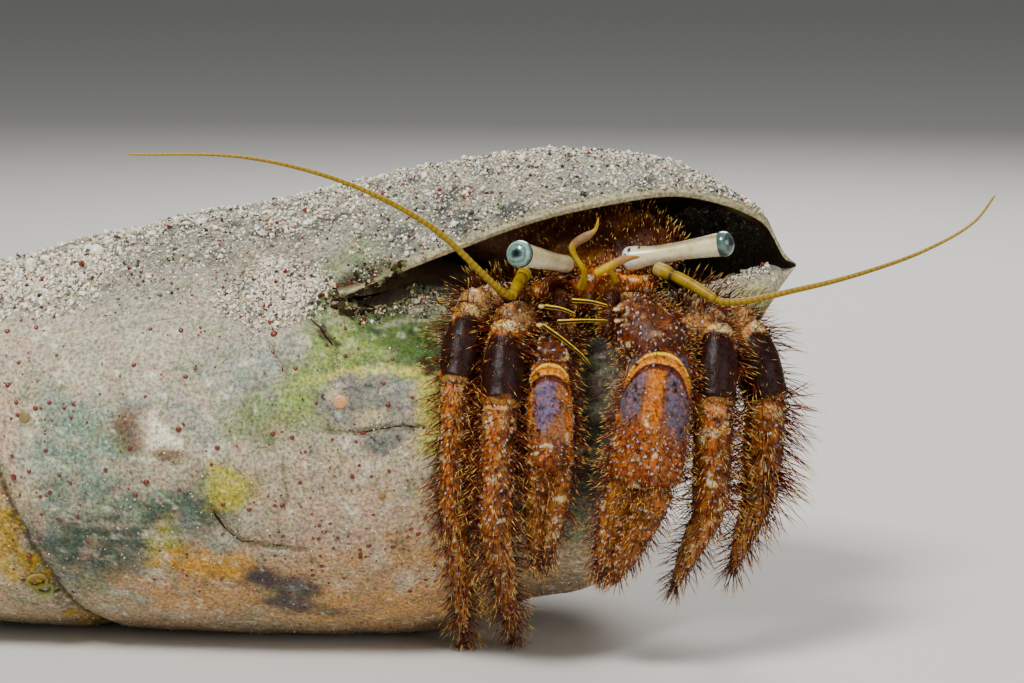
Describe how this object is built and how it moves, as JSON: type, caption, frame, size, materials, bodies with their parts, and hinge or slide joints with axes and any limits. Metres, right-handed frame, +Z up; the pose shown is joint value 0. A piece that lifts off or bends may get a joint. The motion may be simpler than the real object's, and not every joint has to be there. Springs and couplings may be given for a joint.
{
  "type": "hermit crab",
  "caption": "Still life-size hermit crab, a bristly red reef species with pale eyestalks and yellow antennae, looking out of a worn elongated sea-snail shell that rests on the floor.",
  "frame": {"origin": "on the floor, under the middle of the model's box", "axes": "+Z up, -Y the way the crab looks, -X towards the apex of its shell; the crab's left side is at +X"},
  "size_m": [0.1554, 0.051, 0.0511],
  "materials": {
    "shell": "worn lime shell with coralline crust, green algae film and sand grains",
    "carapace": "calcified shield, dark orange brown",
    "abdomen": "soft skin",
    "leg": "orange brown cuticle with dark red patches, pale tubercles and bristles",
    "claw": "slate violet and orange cuticle with dark pits, pale tubercles and bristles",
    "eyestalk": "smooth cream white",
    "cornea": "glossy blue green faceted eye",
    "feeler": "ringed mustard yellow",
    "mouthpart": "red brown with white dots and yellow combs"
  },
  "bodies": {
    "root": {"abdomen_front": "abdomen", "abdomen_middle": "abdomen", "abdomen_tail": "abdomen", "antenna_left_base": "feeler", "antenna_left_whip": "feeler", "antenna_left_whip_tip": "feeler", "antenna_right_base": "feeler", "antenna_right_whip": "feeler", "antenna_right_whip_tip": "feeler", "antennule_left": "feeler", "antennule_right": "feeler", "carapace_rear": "carapace", "claw_left_carpus": "claw", "claw_left_fingers": "claw", "claw_left_merus": "claw", "claw_left_palm": "claw", "claw_right_carpus": "claw", "claw_right_fingers": "claw", "claw_right_merus": "claw", "claw_right_palm": "claw", "cornea_left": "cornea", "cornea_right": "cornea", "eyestalk_left": "eyestalk", "eyestalk_right": "eyestalk", "face": "mouthpart", "leg_2_left_carpus": "leg", "leg_2_left_dactyl": "leg", "leg_2_left_merus": "leg", "leg_2_left_propodus": "leg", "leg_2_right_carpus": "leg", "leg_2_right_dactyl": "leg", "leg_2_right_merus": "leg", "leg_2_right_propodus": "leg", "leg_3_left_carpus": "leg", "leg_3_left_dactyl": "leg", "leg_3_left_merus": "leg", "leg_3_left_propodus": "leg", "leg_3_right_carpus": "leg", "leg_3_right_dactyl": "leg", "leg_3_right_merus": "leg", "leg_3_right_propodus": "leg", "maxilliped_left": "mouthpart", "maxilliped_right": "mouthpart", "shell": "shell", "shield": "carapace"}
  },
  "joints": []
}
